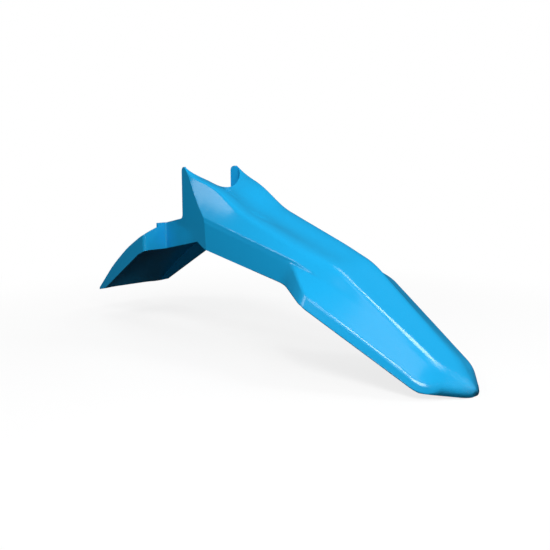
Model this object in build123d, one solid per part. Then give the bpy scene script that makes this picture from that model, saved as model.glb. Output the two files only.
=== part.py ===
from build123d import *
import os

# Front mudguard of a light off-road motorcycle, moulded in one piece.
# Millimetres. X runs forward to the nose, Y to the left and Z up along the clamp bolts.
# The origin is the middle of the bolt pattern, on the top face of the deck.

# Moulding
wall = 3.0                      # thickness of the shell
edge_land = 1.0                 # narrow upright band below the lip
bend_softness = 9.0             # half length of the rounded bends along the guide lines
crest_softness = 14.0           # the same for the bends of the crest
roof_softness = 16.0            # the same for the bends of deck and tail roof
ear_ease = 2.5                  # how far the rounding of the crest starts before it, at the ear
crest_ease = 4.0                # the same along neck and beak
ridge_ease = 1.3
lip_ease = 2.2
nose_ease = 3.5                 # lip's rounding widens to this at the corners beside the nose

# Clamp deck
bolt_hole_diameter = 6.6
bolt_spacing_x = 40.0
bolt_spacing_y = 44.0

# Places along the beak
ear_x = 22.0                    # tips of the two ears
ear_fold_x = 36.0               # crest leaves the edge of the recess wall
ear_root_x = 83.0               # crest steepens in front of the ear
neck_x = 131.0                  # crest levels into the neck
shoulder_x = 245.0              # wing leaves the neck
flare_lead = 11.0               # foot of the neck wall turns outwards this far before the shoulder
wing_run = 47.0                 # from the shoulder to the widest place of the wings
bend_run = 7.0                  # from there to where the beak turns down
fade_run = 51.0                 # from the bend to where the ridge has faded into the wing
front_run = 86.0                # from there to the corners beside the nose
nose_run = 44.0                 # from the corners to where the two front edges would meet
flare_x = shoulder_x - flare_lead
wing_x = shoulder_x + wing_run
bend_x = wing_x + bend_run
fade_x = bend_x + fade_run
nose_corner_x = fade_x + front_run
nose_x = nose_corner_x + nose_run

# Crest, the inner line of the section, which rises to the ear's tip
ear_z = 85.0
ear_fold_z = 73.2
ear_root_z = 57.5
neck_z = 28.4
crest_bend_z = -29.6
crest_fade_z = -65.0
nose_z = -152.2
ear_half_gap = 49.0
ear_fold_half = 52.5
ear_root_half = 44.8
neck_crest_half = 42.8
shoulder_crest_half = 40.0
bend_crest_half = 35.0
fade_crest_half = 28.5
nose_crest_half = 17.5

# Valley between the two crests
ear_valley = 11.0
root_valley = 10.0
neck_valley = 5.0
bend_valley = 0.4
notch_depth = 36.0              # how far the shell's rear edge is cut in between the ears

# Ridge, the outer line of the section, which stands over the neck wall and fades on the wing
heel_x = 80.0                   # rear end of the neck wall
heel_half = 62.0
heel_z = 17.7
shoulder_ridge_half = 56.0
shoulder_ridge_z = -23.0
bend_ridge_half = 49.8
bend_ridge_z = -43.2
fade_ridge_half = 40.0
fade_ridge_z = -72.2
nose_ridge_half = 27.5
nose_ridge_z = -126.0
ridge_step = 4.0                # height of the ridge over the wing at the shoulder
ridge_step_faded = 0.7
neck_lean = 0.4                 # how far the ridge's foot stands out from it on the neck
wing_lean = 3.2                 # the same on the wing, where the step is a slope
fade_lean = 1.4

# Wing, its lip and its edge
wing_half = 89.5
wing_lip_z = -56.5
wing_edge_z = -68.3
wing_lip_width = 7.5            # lip seen from above
neck_draft = 1.6                # foot of the neck wall stands out by this much
neck_edge_z = -24.4
flare_edge_half = 59.5
shoulder_edge_z = -55.9
shoulder_lip_z = -30.0
neck_lip_drop = 2.5
corner_half = 56.0
corner_lip_z = -137.5
corner_edge_z = -146.3
corner_lip_width = 5.0
nose_round = 20.0               # half width at which the front edges start to round into the nose
nose_half = 5.0                 # half width of the flat at the very tip
nose_edge_z = -155.5
nose_lip_drop = 0.8
nose_round_x = nose_x - nose_run * nose_round / corner_half
nose_end_x = nose_x - nose_run * (nose_round**2 + nose_half**2) / (2 * nose_round * corner_half)

# Fork recess and tail, seen from above
recess_x = -46.0                # rear face of the recess, straight across up to the cheeks
recess_half = 34.0
cheek_half = 73.4
tail_x = -200.0
tail_half = 61.0
recess_round = 3.0
cheek_round = 6.5

# Lower edge of recess and tail
heel_notch_x = 60.0
heel_notch_z = -17.8
recess_edge_z = -39.5
tail_bend_x = -67.0
tail_bend_z = -47.4
tail_foot_x = -179.0            # lower edge turns towards the tail's end
tail_foot_z = -115.0
tail_edge_z = -120.5

# Deck and tail roof
deck_end_x = -46.5
roof_mid_x = -100.0
roof_mid_z = -32.1
roof_late_x = -150.0
roof_late_z = -69.6
roof_end_z = -115.6
roof_flat_half = 30.0           # flat middle of the roof
roof_fold_half = 46.0           # where its middle and its sides would meet in a fold
cheek_fall = 14.4               # roof lies this much lower at the cheeks than along the middle
tail_fall = 3.5
fall_start_x = -32.0            # sides start to fall behind the deck
fall_full_x = -40.0

# Fins behind the ears and the rim beside the deck
fin_x = 13.0                    # free rear edge of the fin
fin_drop = 1.0                  # fin's tip lies this much below the ear's
fin_tip_round = 6.5
fin_foot_round = 7.0
rim_front_z = 11.0
rim_recess_z = -0.4
rim_end_half = 49.6             # rim ends on the recess's rear face

# Reach of the cutting shapes past the mudguard
reach = wing_half
floor_z = nose_edge_z - reach
sky_z = ear_z + reach

# Guide lines of the beak as half widths and heights over X
CREST_Y = [(ear_x, ear_half_gap), (ear_fold_x, ear_fold_half), (ear_root_x, ear_root_half),
           (neck_x, neck_crest_half), (shoulder_x, shoulder_crest_half), (bend_x, bend_crest_half),
           (fade_x, fade_crest_half), (nose_corner_x, nose_crest_half)]
CREST_Z = [(ear_x, ear_z), (ear_fold_x, ear_fold_z), (ear_root_x, ear_root_z), (neck_x, neck_z),
           (bend_x, crest_bend_z), (fade_x, crest_fade_z), (nose_x, nose_z)]
CREST_EASE = [(ear_x, ear_ease), (ear_root_x, ear_ease), (neck_x, crest_ease), (bend_x, crest_ease),
              (nose_x, ear_ease)]
LIP_EASE = [(heel_x, lip_ease), (fade_x, lip_ease), (nose_corner_x, nose_ease), (nose_x, nose_ease)]
VALLEY = [(ear_x, ear_valley), (ear_root_x, root_valley), (neck_x, neck_valley),
          (bend_x, bend_valley), (nose_x, 0.0)]
RIDGE_Y = [(heel_x, heel_half), (shoulder_x, shoulder_ridge_half), (bend_x, bend_ridge_half),
           (fade_x, fade_ridge_half), (nose_corner_x, nose_ridge_half)]
RIDGE_Z = [(heel_x, heel_z), (shoulder_x, shoulder_ridge_z), (bend_x, bend_ridge_z),
           (fade_x, fade_ridge_z), (nose_corner_x, nose_ridge_z), (nose_x, nose_z - ridge_step_faded)]
STEP = [(heel_x, ridge_step), (shoulder_x, ridge_step), (fade_x, ridge_step_faded),
        (nose_x, ridge_step_faded)]
LEAN = [(heel_x, neck_lean), (shoulder_x, neck_lean), (wing_x, wing_lean), (fade_x, fade_lean),
        (nose_x, fade_lean)]
LIP_Y = [(heel_x, heel_half + neck_lean), (shoulder_x, shoulder_ridge_half + neck_lean),
         (wing_x, wing_half - wing_lip_width), (nose_corner_x, corner_half - corner_lip_width)]
LIP_Z = [(heel_x, heel_z - ridge_step - neck_lip_drop), (shoulder_x, shoulder_lip_z),
         (wing_x, wing_lip_z), (nose_corner_x, corner_lip_z), (nose_x, nose_z - nose_lip_drop)]
WING_Y = [(heel_x, heel_half + neck_draft), (flare_x, flare_edge_half), (wing_x, wing_half),
          (nose_corner_x, corner_half)]
EDGE_Y = WING_Y + [(nose_x, 0.0)]
EDGE_Z = [(heel_x, neck_edge_z), (shoulder_x, shoulder_edge_z), (wing_x, wing_edge_z),
          (nose_corner_x, corner_edge_z), (nose_x, nose_edge_z)]

# Middle line of deck and roof, and the fall of its sides
ROOF_Z = [(tail_x, roof_end_z), (roof_late_x, roof_late_z), (roof_mid_x, roof_mid_z),
          (deck_end_x, 0.0), (0.0, 0.0)]
FALL = [(tail_x, tail_fall), (fall_full_x, cheek_fall), (fall_start_x, 0.0), (0.0, 0.0)]


def bent_run(knots, x, softness=bend_softness):
    """Value at x of straight runs through the knots, with every bend rounded by a parabola."""
    slopes = [(b[1] - a[1]) / (b[0] - a[0]) for a, b in zip(knots, knots[1:])]
    value = knots[0][1] + slopes[0] * (x - knots[0][0])
    for before, after, knot in zip(slopes, slopes[1:], knots[1:]):
        along = x - knot[0]
        if along >= softness:
            value += (after - before) * along
        elif along > -softness:
            value += (after - before) * (along + softness) ** 2 / (4 * softness)
    return value


def half_section(x):
    """Half section of the beak at x as (y, z) points, level from the middle to the crest and then down."""
    edge_y = bent_run(EDGE_Y, x)
    if edge_y < nose_round:
        edge_y = (nose_round * (2 * edge_y - nose_round)) ** 0.5
    narrowing = min(1.0, edge_y / bent_run(WING_Y, x))
    crest_y = bent_run(CREST_Y, x, crest_softness) * narrowing
    crest_z = bent_run(CREST_Z, x, crest_softness)
    ridge_y = bent_run(RIDGE_Y, x) * narrowing
    ridge_z = bent_run(RIDGE_Z, x)
    foot = (ridge_y + bent_run(LEAN, x) * narrowing, ridge_z - bent_run(STEP, x))
    lip = (bent_run(LIP_Y, x) * narrowing + neck_lean, bent_run(LIP_Z, x))
    edge = (edge_y, bent_run(EDGE_Z, x))
    return [(0.0, crest_z), (crest_y, crest_z), (ridge_y, ridge_z), foot, lip, edge]


def inset(chain, depth):
    """The chain of points moved inwards by depth with mitred corners; its ends move straight in."""
    moved = []
    for place, (y, z) in enumerate(chain):
        normals = [(0.0, -1.0)] if place == 0 else []
        for a, b in zip(chain[max(place - 1, 0):place + 1], chain[place:place + 2]):
            size = ((b[0] - a[0]) ** 2 + (b[1] - a[1]) ** 2) ** 0.5
            if place > 0 and size > 0:
                normals.append(((b[1] - a[1]) / size, (a[0] - b[0]) / size))
        sum_y = sum(normal[0] for normal in normals)
        sum_z = sum(normal[1] for normal in normals)
        share = depth * len(normals) / (sum_y**2 + sum_z**2)
        moved.append((y + share * sum_y, z + share * sum_z))
    return moved


def folded_run(points, eases):
    """Edges along the points; a fold with an ease is rounded from that far before to that far after it."""
    edges = []
    start = points[0]
    for before, fold, after, ease in zip(points, points[1:], points[2:], eases):
        back = before - fold
        onward = after - fold
        ease = min(ease, 0.45 * back.length, 0.45 * onward.length)
        rounding_start = fold + back.normalized() * ease
        edges.append(Edge.make_line(start, rounding_start))
        start = fold + onward.normalized() * ease
        if ease > 0:
            edges.append(Edge.make_bezier(rounding_start, fold, start))
    return edges + [Edge.make_line(start, points[-1])]


def block_section(x, depth):
    """Closed section under the beak's skin at x, taken in by depth and run down to the floor."""
    chain = half_section(x)
    chain.append((chain[-1][0], floor_z))
    eases = [bent_run(CREST_EASE, x), ridge_ease, 0, bent_run(LIP_EASE, x), 0]
    if depth > 0:
        # The underside runs straight below the ridge, without its step, and its folds are sharp
        del chain[2]
        chain = inset(chain, depth)
        eases = [0, 0, 0, 0]
    edges = []
    for sign in (1, -1):
        run = folded_run([Vector(x, sign * y, z) for y, z in chain], eases)
        # The level run between the crests sinks into the valley
        brink = run[0] @ 1
        bottom_z = brink.Z - bent_run(VALLEY, x, crest_softness)
        run[0] = Edge.make_bezier((x, 0, bottom_z), (x, brink.Y / 2, bottom_z),
                                  (x, brink.Y / 2, brink.Z), brink)
        edges += run
    edges.append(Edge.make_line((x, chain[-1][0], floor_z), (x, -chain[-1][0], floor_z)))
    return Wire(edges)


def between(start, end, steps):
    """Evenly spaced places from start up to, but not including, end."""
    return [start + (end - start) * step / steps for step in range(steps)]


def beak_block(depth):
    """Everything under the beak's skin, with the skin taken in by depth."""
    turns = [0.0, ear_fold_x - bend_softness, ear_fold_x + bend_softness, ear_root_x - bend_softness,
             ear_root_x + bend_softness, neck_x - bend_softness, neck_x + bend_softness,
             flare_x - bend_softness, shoulder_x + bend_softness, wing_x - bend_softness,
             bend_x + bend_softness, fade_x, nose_corner_x - bend_softness,
             nose_corner_x + bend_softness, nose_round_x, nose_end_x - depth]
    counts = [2, 4, 4, 4, 2, 4, 6, 6, 4, 8, 4, 6, 4, 4, 4]
    places = [x for a, b, steps in zip(turns, turns[1:], counts) for x in between(a, b, steps)]
    return Solid.make_loft([block_section(x, depth) for x in places + turns[-1:]])


def roof_section(x, depth):
    """Closed section under deck and tail roof at x, with the roof taken in by depth."""
    front_z = bent_run(ROOF_Z, x + 1, roof_softness)
    slope = (front_z - bent_run(ROOF_Z, x - 1, roof_softness)) / 2
    middle_z = bent_run(ROOF_Z, x, roof_softness) - depth * (1 + slope**2) ** 0.5
    side_z = middle_z - bent_run(FALL, x)
    ends = [Vector(x, sign * cheek_half, side_z) for sign in (1, -1)]
    flats = [Vector(x, sign * roof_flat_half, middle_z) for sign in (1, -1)]
    edges = [Edge.make_line(*flats)]
    for sign, flat, end in zip((1, -1), flats, ends):
        fold = Vector(x, sign * roof_fold_half, middle_z)
        outside = end + (end - fold).normalized() * wall
        floor = Vector(x, outside.Y, floor_z)
        edges.append(Edge.make_bezier(flat, fold, end))
        edges += [Edge.make_line(end, outside), Edge.make_line(outside, floor)]
        edges.append(Edge.make_line(floor, Vector(x, 0, floor_z)))
    return Wire(edges)


def roof_block(depth):
    """Everything under deck and tail roof, as far forward as the deck reaches."""
    flat_x = fall_start_x + bend_softness
    turns = [tail_x, recess_x - roof_softness, flat_x]
    counts = [9, 6]
    places = [x for a, b, steps in zip(turns, turns[1:], counts) for x in between(a, b, steps)]
    tail = Solid.make_loft([roof_section(x, depth) for x in places + [flat_x]])
    plan = Pos(flat_x, 0, floor_z) * Rectangle(heel_x - flat_x, 2 * (cheek_half + wall),
                                               align=(Align.MIN, Align.CENTER))
    return tail + extrude(plan, -depth - floor_z, dir=(0, 0, 1))


def recess_half_at(x):
    """Half width of the flat recess wall, which leads from the heel past the fin into the recess."""
    return recess_half + (heel_half - recess_half) * (x - recess_x) / (heel_x - recess_x)


def corner(sketch, x, y):
    """The sketch's corner at or nearest to a point."""
    return sketch.vertices().sort_by_distance((x, y))[0]


def rear_plan(depth):
    """Plan of recess and tail, taken in by depth, running on past the heel and the tail's end."""
    front_x = heel_x + reach
    end_x = tail_x - reach
    end_half = tail_half - (cheek_half - tail_half) * reach / (recess_x - tail_x)
    side = [(front_x, recess_half_at(front_x)), (recess_x, recess_half), (recess_x, cheek_half),
            (end_x, end_half)]
    plan = Polygon(*side, *[(x, -y) for x, y in reversed(side)], align=None)
    for sign in (1, -1):
        plan = fillet(corner(plan, recess_x, sign * recess_half), recess_round)
        plan = fillet(corner(plan, recess_x, sign * cheek_half), cheek_round)
    return offset(plan, -depth, kind=Kind.INTERSECTION) if depth else plan


def yoke_plan(grow):
    """Plan of the space behind the shell's rear edge, which is round between the ears."""
    radius = (ear_half_gap**2 + notch_depth**2) / (2 * notch_depth)
    middle_x = ear_x + notch_depth - radius
    back = Rectangle(-tail_x + reach, 2 * (cheek_half + reach), align=(Align.MAX, Align.CENTER))
    return Pos(middle_x, 0) * (Circle(radius + grow) + back)


def upright(plan):
    """A plan raised into a prism that passes right through the mudguard."""
    return extrude(Pos(0, 0, floor_z) * plan, sky_z - floor_z, dir=(0, 0, 1))


def across(outline):
    """A side view outline run right across the mudguard."""
    return extrude(Plane.XZ * outline, 2 * reach, both=True)


def fin_outline():
    """Side view of the fin, the recess wall below it and the rim that runs back from it."""
    lean = neck_draft * (heel_x - recess_x) / (heel_half - recess_half) / (heel_z - neck_edge_z)
    tip_z = ear_z - fin_drop
    top_x = heel_x - lean * (tip_z - heel_z)
    foot_x = heel_x + lean * (heel_z - floor_z)
    outline = Polygon((fin_x, rim_front_z), (fin_x, tip_z), (top_x, tip_z), (foot_x, floor_z),
                      (recess_x, floor_z), (recess_x, rim_recess_z), align=None)
    outline = fillet(corner(outline, fin_x, tip_z), fin_tip_round)
    return fillet(corner(outline, fin_x, rim_front_z), fin_foot_round)


def outline_above_edge():
    """Side view of all that lies above the lower edge."""
    rear = [(tail_x, tail_edge_z), (tail_foot_x, tail_foot_z), (tail_bend_x, tail_bend_z),
            (recess_x, recess_edge_z), (heel_notch_x, heel_notch_z)]
    beak = [(x, z - edge_land) for x, z in EDGE_Z]
    above = [(nose_x, sky_z), (tail_x, sky_z)]
    return Polygon(*rear, *beak, *above, align=None)


def beak_skin(block):
    """Skin of beak, wings and ears, ending at the recess walls and at the notch between the ears."""
    front_x = nose_x + reach
    sides = [(recess_x, recess_half), (front_x, recess_half_at(front_x))]
    plan = Polygon(*sides, *[(x, -y) for x, y in reversed(sides)], align=None)
    return (block - beak_block(wall)) & upright(plan - yoke_plan(0))


def bulkhead(core):
    """Upright wall from the deck up to the notch between the ears."""
    ring = (yoke_plan(wall) - yoke_plan(0)) & rear_plan(0)
    above_deck = across(Polygon((0, -wall), (nose_x, -wall), (nose_x, sky_z), (0, sky_z), align=None))
    return upright(ring) & above_deck & core


def recess_walls(core):
    """Fins, recess walls and the tail's sides, with fins trimmed below the ears' skin."""
    band = upright(rear_plan(0) - rear_plan(wall))
    fins = band & across(fin_outline())
    behind_ear = across(Polygon((tail_x, floor_z), (ear_x, floor_z), (ear_x, sky_z), (tail_x, sky_z),
                                align=None))
    sides = band & roof_block(wall / 2) & behind_ear
    rim = Pos(recess_x, 0, rim_recess_z) * Box(wall, 2 * rim_end_half, -recess_edge_z,
                                               align=(Align.MAX, Align.CENTER, Align.MAX))
    return sides + (fins & behind_ear) + (fins & core) + (band & rim)


def deck_and_roof():
    """Clamp deck and tail roof out to the recess walls."""
    slab = roof_block(0) - roof_block(wall)
    return slab & upright(rear_plan(0) & yoke_plan(wall))


def mudguard():
    """The whole shell, trimmed along its lower edge and drilled for the four clamp bolts."""
    core = beak_block(wall / 2)
    shell = beak_skin(beak_block(0)) + recess_walls(core) + bulkhead(core) + deck_and_roof()
    shell &= across(outline_above_edge())
    hole = upright(Circle(bolt_hole_diameter / 2))
    return shell - [place * hole for place in GridLocations(bolt_spacing_x, bolt_spacing_y, 2, 2)]


os.makedirs("parts", exist_ok=True)
export_step(mudguard(), "parts/mudguard.step")
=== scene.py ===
import math

import bpy
import numpy as np
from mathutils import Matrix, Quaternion, Vector


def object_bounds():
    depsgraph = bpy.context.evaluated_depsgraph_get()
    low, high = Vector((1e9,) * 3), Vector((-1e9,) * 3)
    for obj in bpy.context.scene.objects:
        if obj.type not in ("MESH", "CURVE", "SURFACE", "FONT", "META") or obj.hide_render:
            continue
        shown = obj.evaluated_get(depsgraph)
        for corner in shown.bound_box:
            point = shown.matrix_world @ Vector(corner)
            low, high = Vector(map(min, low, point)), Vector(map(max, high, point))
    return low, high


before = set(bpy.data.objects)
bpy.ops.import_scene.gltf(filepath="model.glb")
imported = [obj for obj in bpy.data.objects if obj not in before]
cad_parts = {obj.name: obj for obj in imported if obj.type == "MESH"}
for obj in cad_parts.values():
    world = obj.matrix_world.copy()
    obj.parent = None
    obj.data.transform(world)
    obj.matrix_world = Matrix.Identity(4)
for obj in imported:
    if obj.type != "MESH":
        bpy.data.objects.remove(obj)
cad_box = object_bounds()

# Blue plastic, in metres where it has a length
BLUE_DEEP = (0.0115, 0.405, 0.80, 1)
BLUE_PALE = (0.0135, 0.43, 0.84, 1)
PLASTIC_IOR = 1.49
FLOW_STRETCH = (0.35, 1.0, 1.0)     # flow marks run along the part
GLOSSY, DULLER = 0.15, 0.19         # range of the roughness
RIPPLE_STRENGTH = 0.03
RIPPLE_DEPTH = 0.0003
NECK_ROLL = 0.013                   # radius over which light rolls round the neck's crest
CREST_SHARE = 0.35                  # share of it that is left on the beak's crest
NOSE_ROLL = 0.012                   # radius at the nose
BEAK_ROLL = 0.002                   # radius on the beak's other folds

# Studio
FLOOR_Z = cad_box[0].z - 0.0005
FLOOR_HALF = 6.0
SHADOW_MIDDLE = (0.15, 0.0, FLOOR_Z)
ROOM_GREY = (0.03, 0.03, 0.03, 1)
PALE_PAPER = (0.9, 0.9, 0.9, 1)
WHITE = (1, 1, 1, 1)
CAMERA_PLACE = (0.8987, -0.7066, 0.1157)
CAMERA_TILT = math.radians(80.283)
CAMERA_TURN = math.radians(46.414)


def new_tree(material):
    """Empty node tree of a material."""
    material.use_nodes = True
    material.node_tree.nodes.clear()
    return material.node_tree


def noise(tree, place, scale, detail):
    """Cloudy pattern from 0 to 1 over a place in metres."""
    cloud = tree.nodes.new("ShaderNodeTexNoise")
    cloud.inputs["Scale"].default_value = scale
    cloud.inputs["Detail"].default_value = detail
    tree.links.new(place, cloud.inputs["Vector"])
    return cloud.outputs["Fac"]


def ramp(tree, source, span, values):
    """Smooth change from one value to another while the source runs over a span."""
    change = tree.nodes.new("ShaderNodeMapRange")
    change.interpolation_type = "SMOOTHSTEP"
    for socket, number in zip(("From Min", "From Max", "To Min", "To Max"), (*span, *values)):
        change.inputs[socket].default_value = number
    tree.links.new(source, change.inputs["Value"])
    return change.outputs["Result"]


def reckon(tree, operation, *sources):
    """One arithmetic step on one or two values."""
    step = tree.nodes.new("ShaderNodeMath")
    step.operation = operation
    for source, socket in zip(sources, step.inputs):
        tree.links.new(source, socket)
    return step.outputs["Value"]


def moulding_radius(tree, place):
    """Radius over which light rolls round a fold, from the place along and across the part.

    It is widest on the neck's crest and at the nose, less on the beak's crest, small on the beak's other
    folds, and nothing behind the neck. Each reach is a product of smooth steps. Crest and nose add up, and
    the beak's small radius is the least.
    """
    axes = tree.nodes.new("ShaderNodeSeparateXYZ")
    tree.links.new(place, axes.inputs["Vector"])
    along = axes.outputs["X"]
    aside = reckon(tree, "ABSOLUTE", axes.outputs["Y"])
    neck_starts = ramp(tree, along, (0.10, 0.15), (0.0, NECK_ROLL))
    eased_on_beak = ramp(tree, along, (0.27, 0.33), (1.0, CREST_SHARE))
    within_crests = ramp(tree, aside, (0.043, 0.050), (1.0, 0.0))
    crest = reckon(tree, "MULTIPLY", neck_starts, eased_on_beak)
    crest = reckon(tree, "MULTIPLY", crest, within_crests)
    nose_starts = ramp(tree, along, (0.425, 0.45), (0.0, NOSE_ROLL))
    within_nose = ramp(tree, aside, (0.030, 0.045), (1.0, 0.0))
    nose = reckon(tree, "MULTIPLY", nose_starts, within_nose)
    beak = ramp(tree, along, (0.16, 0.20), (0.0, BEAK_ROLL))
    return reckon(tree, "MAXIMUM", reckon(tree, "ADD", crest, nose), beak)


def blue_plastic():
    """Moulded sky-blue polypropylene: glossy, with faint flow marks, an uneven gloss and a slight ripple."""
    material = bpy.data.materials.new("blue_plastic")
    tree = new_tree(material)
    nodes, links = tree.nodes, tree.links
    out = nodes.new("ShaderNodeOutputMaterial")
    plastic = nodes.new("ShaderNodeBsdfPrincipled")
    plastic.inputs["IOR"].default_value = PLASTIC_IOR
    links.new(plastic.outputs["BSDF"], out.inputs["Surface"])
    place = nodes.new("ShaderNodeTexCoord").outputs["Object"]

    stretch = nodes.new("ShaderNodeMapping")
    stretch.inputs["Scale"].default_value = FLOW_STRETCH
    links.new(place, stretch.inputs["Vector"])
    tone = nodes.new("ShaderNodeMix")
    tone.data_type = "RGBA"
    tone.inputs["A"].default_value = BLUE_DEEP
    tone.inputs["B"].default_value = BLUE_PALE
    links.new(noise(tree, stretch.outputs["Vector"], 14.0, 3.0), tone.inputs["Factor"])
    links.new(tone.outputs["Result"], plastic.inputs["Base Color"])

    gloss = nodes.new("ShaderNodeMapRange")
    gloss.inputs["To Min"].default_value = GLOSSY
    gloss.inputs["To Max"].default_value = DULLER
    links.new(noise(tree, place, 22.0, 2.0), gloss.inputs["Value"])
    links.new(gloss.outputs["Result"], plastic.inputs["Roughness"])

    rolled = nodes.new("ShaderNodeBevel")
    rolled.samples = 16
    links.new(moulding_radius(tree, place), rolled.inputs["Radius"])
    ripple = nodes.new("ShaderNodeBump")
    ripple.inputs["Strength"].default_value = RIPPLE_STRENGTH
    ripple.inputs["Distance"].default_value = RIPPLE_DEPTH
    links.new(noise(tree, place, 260.0, 1.0), ripple.inputs["Height"])
    links.new(rolled.outputs["Normal"], ripple.inputs["Normal"])
    links.new(ripple.outputs["Normal"], plastic.inputs["Normal"])
    return material


def floor_paper():
    """Stage paper: dark to the part, pale to the camera, and white but for the part's shadow."""
    material = bpy.data.materials.new("floor_paper")
    tree = new_tree(material)
    nodes, links = tree.nodes, tree.links
    out = nodes.new("ShaderNodeOutputMaterial")
    ray = nodes.new("ShaderNodeLightPath")
    seen = nodes.new("ShaderNodeMix")
    seen.data_type = "RGBA"
    seen.inputs["A"].default_value = ROOM_GREY
    seen.inputs["B"].default_value = PALE_PAPER
    links.new(ray.outputs["Is Camera Ray"], seen.inputs["Factor"])
    paper = nodes.new("ShaderNodeBsdfDiffuse")
    links.new(seen.outputs["Result"], paper.inputs["Color"])
    white = nodes.new("ShaderNodeEmission")
    white.inputs["Strength"].default_value = 1.0

    place = nodes.new("ShaderNodeTexCoord")
    from_part = nodes.new("ShaderNodeVectorMath")
    from_part.operation = "DISTANCE"
    from_part.inputs[1].default_value = SHADOW_MIDDLE
    links.new(place.outputs["Object"], from_part.inputs[0])
    fade = ramp(tree, from_part.outputs["Value"], (0.25, 0.75), (0.8, 1.0))
    lifted = reckon(tree, "MULTIPLY", ray.outputs["Is Camera Ray"], fade)
    mix = nodes.new("ShaderNodeMixShader")
    links.new(lifted, mix.inputs["Fac"])
    links.new(paper.outputs["BSDF"], mix.inputs[1])
    links.new(white.outputs["Emission"], mix.inputs[2])
    links.new(mix.outputs["Shader"], out.inputs["Surface"])
    return material


def make_floor():
    """Flat square floor under the part, from its four corners."""
    corners = FLOOR_HALF * np.array([(-1, -1, 0), (1, -1, 0), (1, 1, 0), (-1, 1, 0)])
    corners = corners + (0, 0, FLOOR_Z)
    mesh = bpy.data.meshes.new("floor")
    mesh.from_pydata(corners.tolist(), [], [(0, 1, 2, 3)])
    floor = bpy.data.objects.new("floor", mesh)
    bpy.context.scene.collection.objects.link(floor)
    floor.data.materials.append(floor_paper())


def make_world():
    """Dim room round the part that the camera sees as white."""
    world = bpy.data.worlds.new("studio")
    bpy.context.scene.world = world
    world.use_nodes = True
    nodes, links = world.node_tree.nodes, world.node_tree.links
    nodes.clear()
    out = nodes.new("ShaderNodeOutputWorld")
    dim = nodes.new("ShaderNodeBackground")
    dim.inputs["Color"].default_value = ROOM_GREY
    white = nodes.new("ShaderNodeBackground")
    white.inputs["Color"].default_value = WHITE
    ray = nodes.new("ShaderNodeLightPath")
    mix = nodes.new("ShaderNodeMixShader")
    links.new(ray.outputs["Is Camera Ray"], mix.inputs["Fac"])
    links.new(dim.outputs["Background"], mix.inputs[1])
    links.new(white.outputs["Background"], mix.inputs[2])
    links.new(mix.outputs["Shader"], out.inputs["Surface"])


def soft_box(name, place, aim, size, watts, lean=0.0):
    """Rectangular area lamp at a place, turned to an aim and leant by degrees about its own axis."""
    lamp = bpy.data.lights.new(name, "AREA")
    lamp.shape = "RECTANGLE"
    lamp.size, lamp.size_y = size
    lamp.energy = watts
    box = bpy.data.objects.new(name, lamp)
    bpy.context.scene.collection.objects.link(box)
    box.location = place
    turn = Vector(np.subtract(aim, place)).to_track_quat("-Z", "Y")
    turn = turn @ Quaternion((0, 0, 1), math.radians(lean))
    box.rotation_euler = turn.to_euler()


def make_lamps():
    """Soft boxes at the front, over both sides and behind, and a leaning panel that the ear mirrors."""
    middle = (0.2, 0.0, -0.02)
    soft_box("front_box", (1.19, -0.46, 0.69), middle, (0.4, 0.4), 6.2)
    soft_box("front_top_box", (0.94, -0.06, 1.05), middle, (0.4, 0.4), 0.6)
    soft_box("wing_box", (0.72, 0.08, 1.12), (0.37, -0.05, -0.09), (0.4, 0.35), 0.6)
    soft_box("near_top_box", (0.72, -0.48, 1.0), (0.38, -0.05, -0.1), (0.22, 0.22), 2.6)
    soft_box("lip_box", (0.98, -0.65, 0.79), (0.38, -0.05, -0.1), (0.25, 0.25), 3.4)
    soft_box("far_front_box", (0.62, 0.70, 0.95), (0.4, 0, -0.1), (0.35, 0.3), 3.0)
    soft_box("far_rear_box", (0.3, 0.66, 1.0), (0.3, 0, -0.04), (0.36, 0.3), 1.2)
    soft_box("far_low_box", (0.99, 1.02, 0.45), (0.4, 0, -0.1), (0.5, 0.5), 2.0)
    soft_box("near_box", (0.35, -0.75, 0.9), middle, (0.4, 0.4), 1.7)
    soft_box("ear_panel", (-0.31, -0.97, 0.72), (0.08, -0.05, 0.045), (0.3, 0.73), 2.7, -26)
    soft_box("low_panel", (0.41, -0.95, -0.055), (-0.05, -0.07, -0.055), (0.14, 0.19), 0.5)
    soft_box("back_box", (-1.0, 0.3, 0.6), (-0.05, 0, 0), (0.6, 0.6), 5.5)


def make_camera():
    """Camera at the photograph's place and angle."""
    lens = bpy.data.cameras.new("camera")
    lens.lens = 50.0
    lens.sensor_width = 36.0
    camera = bpy.data.objects.new("camera", lens)
    camera.location = CAMERA_PLACE
    camera.rotation_euler = (CAMERA_TILT, 0.0, CAMERA_TURN)
    bpy.context.scene.collection.objects.link(camera)
    bpy.context.scene.camera = camera


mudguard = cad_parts["mudguard"]
mudguard.data.materials.clear()
mudguard.data.materials.append(blue_plastic())
make_floor()
make_world()
make_lamps()
make_camera()
bpy.context.scene.view_settings.view_transform = "Standard"
